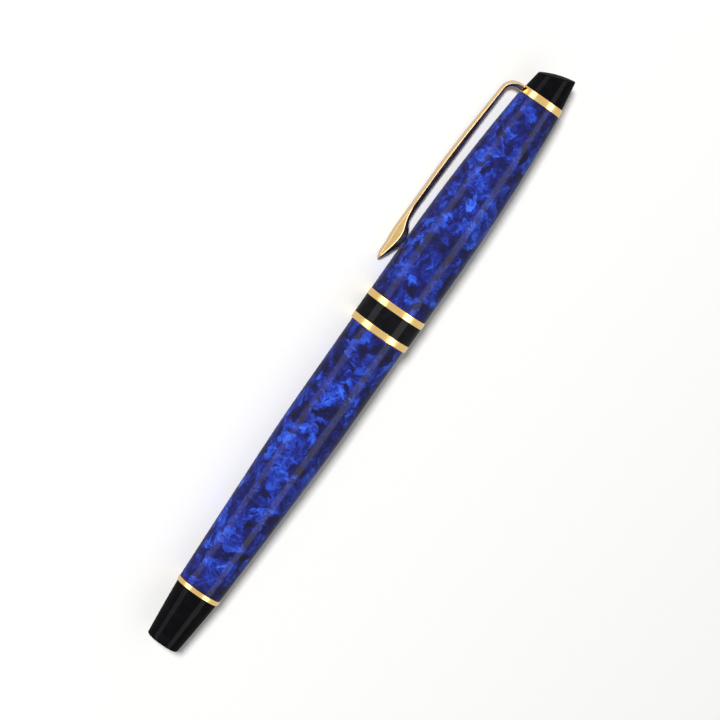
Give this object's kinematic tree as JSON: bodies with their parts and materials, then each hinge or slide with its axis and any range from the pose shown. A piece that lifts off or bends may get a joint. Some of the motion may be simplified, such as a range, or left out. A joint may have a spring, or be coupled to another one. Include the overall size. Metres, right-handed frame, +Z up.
{
  "type": "fountain pen",
  "caption": "Capped fountain pen with marbled lacquer, gilt rings and clip, black ends; cap pulls off, barrel unscrews, screw converter inside.",
  "frame": {"origin": "centre of the flat end face of the tail plug, on the pen's axis", "axes": "+X along the pen's axis from the tail to the finial; +Z up as the pen lies on a table, with the clip towards +Y and down"},
  "size_m": [0.141, 0.0159, 0.0134],
  "materials": {
    "blue_lacquer": "gloss marbled lacquer",
    "gold_plate": "polished",
    "black_resin": "polished",
    "moulded_black": "satin",
    "raw_brass": "machined",
    "nib_gold": "polished",
    "nib_point": "polished",
    "clear_plastic": "polished clear",
    "seal_rubber": "matte",
    "steel": "turned"
  },
  "bodies": {
    "section": {"section_grip": "black_resin", "section_nipple": "raw_brass", "section_front_ring": "gold_plate", "nib_housing": "moulded_black", "nib": "nib_gold", "nib_tipping": "nib_point", "feed": "moulded_black"},
    "clutch": {"clutch_ring": "gold_plate"},
    "cap": {"cap_tube": "blue_lacquer", "cap_lip_ring": "gold_plate", "cap_centre_band": "black_resin", "cap_upper_ring": "gold_plate", "cap_mouth_bush": "raw_brass", "inner_cap": "moulded_black", "cap_top_bush": "raw_brass", "clip_washer": "steel", "finial_stud": "steel", "clip_ring": "gold_plate", "finial": "black_resin"},
    "clip_arm": {"clip": "gold_plate"},
    "joint_washer": {"joint_ring": "gold_plate"},
    "mouth_ring": {"barrel_mouth_ring": "gold_plate"},
    "barrel": {"barrel_tube": "blue_lacquer", "barrel_insert": "raw_brass", "tail_ring": "gold_plate", "tail_plug": "black_resin"},
    "converter": {"converter_tube": "clear_plastic", "converter_sleeve": "gold_plate", "converter_nut": "moulded_black"},
    "knob": {"converter_knob": "moulded_black", "knob_ring": "gold_plate", "converter_spindle": "steel"},
    "piston": {"piston_rod": "moulded_black", "piston_seal": "seal_rubber"}
  },
  "joints": [
    {"name": "cap_turn", "type": "hinge", "parent": "section", "child": "clutch", "pos_m": [0.0807, 0, 0], "axis": [1, 0, 0], "continuous": true},
    {"name": "cap_pull_off", "type": "slide", "parent": "clutch", "child": "cap", "axis": [1, 0, 0], "range_m": [0, 0.06]},
    {"name": "clip_flex", "type": "hinge", "parent": "cap", "child": "clip_arm", "pos_m": [0.1339, 0.00337, -0.00214], "axis": [0, -0.5358, -0.8443], "range_deg": [0, 4], "stiffness_Nm_per_rad": 3},
    {"name": "barrel_advance", "type": "slide", "parent": "section", "child": "joint_washer", "axis": [-1, 0, 0], "range_m": [0, 0.0036]},
    {"name": "barrel_pull_off", "type": "slide", "parent": "joint_washer", "child": "mouth_ring", "axis": [-1, 0, 0], "range_m": [0, 0.075]},
    {"name": "barrel_unscrew", "type": "hinge", "parent": "mouth_ring", "child": "barrel", "pos_m": [0.0764, 0, 0], "axis": [-1, 0, 0], "range_deg": [0, 1440]},
    {"name": "converter_pull_off", "type": "slide", "parent": "section", "child": "converter", "axis": [-1, 0, 0], "range_m": [0, 0.0065]},
    {"name": "knob_turn", "type": "hinge", "parent": "converter", "child": "knob", "pos_m": [0.02655, 0, 0], "axis": [1, 0, 0], "range_deg": [0, 1800]},
    {"name": "piston_travel", "type": "slide", "parent": "converter", "child": "piston", "axis": [1, 0, 0], "range_m": [0, 0.02]}
  ],
  "couplings": [
    {"joint": "barrel_unscrew", "follows": "barrel_advance", "rad_per_m": 6981.3},
    {"joint": "knob_turn", "follows": "piston_travel", "rad_per_m": 1570.8}
  ]
}
